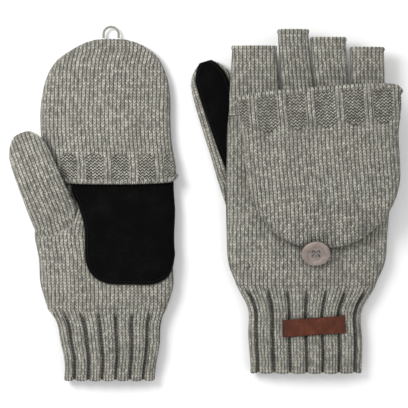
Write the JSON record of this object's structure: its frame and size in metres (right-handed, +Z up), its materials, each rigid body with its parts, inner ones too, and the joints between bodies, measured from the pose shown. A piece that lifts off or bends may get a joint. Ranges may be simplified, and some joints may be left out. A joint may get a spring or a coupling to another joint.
{
  "type": "convertible mittens",
  "caption": "Pair of thick wool mittens with fold-back caps over half fingers, suede palms and thumbs, and a button that holds each cap open.",
  "frame": {"origin": "on the surface that the pair lies on, below the middle of their common bounding box", "axes": "+X from the left mitten to the right one, +Y from the cuffs to the fingertips, +Z up"},
  "size_m": [0.2965, 0.2711, 0.0419],
  "materials": {
    "wool_knit": "heather grey ragg wool, stockinette knit",
    "rib_knit": "heather grey ragg wool, wide rib knit",
    "rim_knit": "heather grey ragg wool, rib and purl band",
    "suede": "black suede with a short nap",
    "label_leather": "red-brown leather, matt",
    "button_plastic": "taupe four-hole button, satin",
    "button_thread": "grey sewing thread",
    "stitching_thread": "black sewing thread",
    "label_thread": "dark brown sewing thread"
  },
  "bodies": {
    "left_mitten": {"left_cuff": "rib_knit", "left_hand": "wool_knit", "left_palm_patch": "suede", "left_palm_stitching": "stitching_thread", "left_label": "label_leather", "left_label_stitching": "label_thread", "left_cap_seam": "wool_knit", "left_button_shank": "button_thread", "left_index_finger": "wool_knit", "left_middle_finger": "wool_knit", "left_ring_finger": "wool_knit", "left_little_finger": "wool_knit"},
    "left_cap": {"left_cap": "wool_knit", "left_cap_rim_band": "rim_knit"},
    "left_loop": {"left_cap_loop": "wool_knit"},
    "left_thumb": {"left_thumb": "wool_knit", "left_thumb_patch": "suede", "left_thumb_stitching": "stitching_thread"},
    "left_button": {"left_button": "button_plastic", "left_button_thread": "button_thread"},
    "right_mitten": {"right_cuff": "rib_knit", "right_hand": "wool_knit", "right_palm_patch": "suede", "right_palm_stitching": "stitching_thread", "right_label": "label_leather", "right_label_stitching": "label_thread", "right_cap_seam": "wool_knit", "right_button_shank": "button_thread"},
    "right_cap": {"right_cap": "wool_knit", "right_cap_rim_band": "rim_knit"},
    "right_loop": {"right_cap_loop": "wool_knit"},
    "right_thumb": {"right_thumb": "wool_knit", "right_thumb_patch": "suede", "right_thumb_stitching": "stitching_thread"},
    "right_button": {"right_button": "button_plastic", "right_button_thread": "button_thread"},
    "right_index_finger": {"right_index_finger": "wool_knit"},
    "right_middle_finger": {"right_middle_finger": "wool_knit"},
    "right_ring_finger": {"right_ring_finger": "wool_knit"},
    "right_little_finger": {"right_little_finger": "wool_knit"}
  },
  "joints": [
    {"name": "right_mitten_slide", "type": "slide", "parent": "left_mitten", "child": "right_mitten", "axis": [1, 0, 0], "range_m": [0, 0.15]},
    {"name": "left_cap_flip", "type": "hinge", "parent": "left_mitten", "child": "left_cap", "pos_m": [-0.0742, 0.0364, -0.00004], "axis": [-1, 0, 0], "range_deg": [0, 180], "deforming": ["left_cap", "left_cap_rim_band", "left_cap_loop"]},
    {"name": "right_cap_flip", "type": "hinge", "parent": "right_mitten", "child": "right_cap", "pos_m": [0.0863, 0.061, 0.02255], "axis": [-0.9969, -0.0785, 0], "range_deg": [0, 184], "deforming": ["right_cap", "right_cap_rim_band", "right_cap_loop"]},
    {"name": "left_loop_bend", "type": "hinge", "parent": "left_cap", "child": "left_loop", "pos_m": [-0.0716, 0.1269, 0.00356], "axis": [1, 0, 0], "range_deg": [0, 60], "stiffness_Nm_per_rad": 0.0005, "deforming": ["left_cap_loop"]},
    {"name": "right_loop_bend", "type": "hinge", "parent": "right_cap", "child": "right_loop", "pos_m": [0.08649, -0.037, 0.01933], "axis": [-0.9969, -0.0785, 0], "range_deg": [0, 60], "stiffness_Nm_per_rad": 0.0005, "deforming": ["right_cap_loop"]},
    {"name": "left_thumb_spread", "type": "hinge", "parent": "left_mitten", "child": "left_thumb", "pos_m": [-0.1302, -0.0196, 0.00796], "axis": [0, 0, 1], "range_deg": [0, 25]},
    {"name": "right_thumb_spread", "type": "hinge", "parent": "right_mitten", "child": "right_thumb", "pos_m": [0.0168, 0.009, 0.00505], "axis": [0, 0, 1], "range_deg": [0, 10]},
    {"name": "left_button_turn", "type": "hinge", "parent": "left_mitten", "child": "left_button", "pos_m": [-0.0702, -0.0566, 0.00316], "axis": [0, 0, -1], "range_deg": [-45, 45]},
    {"name": "right_button_turn", "type": "hinge", "parent": "right_mitten", "child": "right_button", "pos_m": [0.0841, -0.0382, 0.02195], "axis": [0, -0.5592, 0.829], "range_deg": [-45, 45]},
    {"name": "right_index_finger_bend", "type": "hinge", "parent": "right_mitten", "child": "right_index_finger", "pos_m": [0.0387, 0.0693, 0.01135], "axis": [-1, 0, 0], "range_deg": [0, 5], "stiffness_Nm_per_rad": 0.02},
    {"name": "right_middle_finger_bend", "type": "hinge", "parent": "right_mitten", "child": "right_middle_finger", "pos_m": [0.0719, 0.0693, 0.01135], "axis": [-1, 0, 0], "range_deg": [0, 40], "stiffness_Nm_per_rad": 0.02},
    {"name": "right_ring_finger_bend", "type": "hinge", "parent": "right_mitten", "child": "right_ring_finger", "pos_m": [0.0979, 0.0693, 0.01135], "axis": [-1, 0, 0], "range_deg": [0, 40], "stiffness_Nm_per_rad": 0.02},
    {"name": "right_little_finger_bend", "type": "hinge", "parent": "right_mitten", "child": "right_little_finger", "pos_m": [0.1245, 0.0693, 0.01135], "axis": [-1, 0, 0], "range_deg": [0, 40], "stiffness_Nm_per_rad": 0.02}
  ]
}
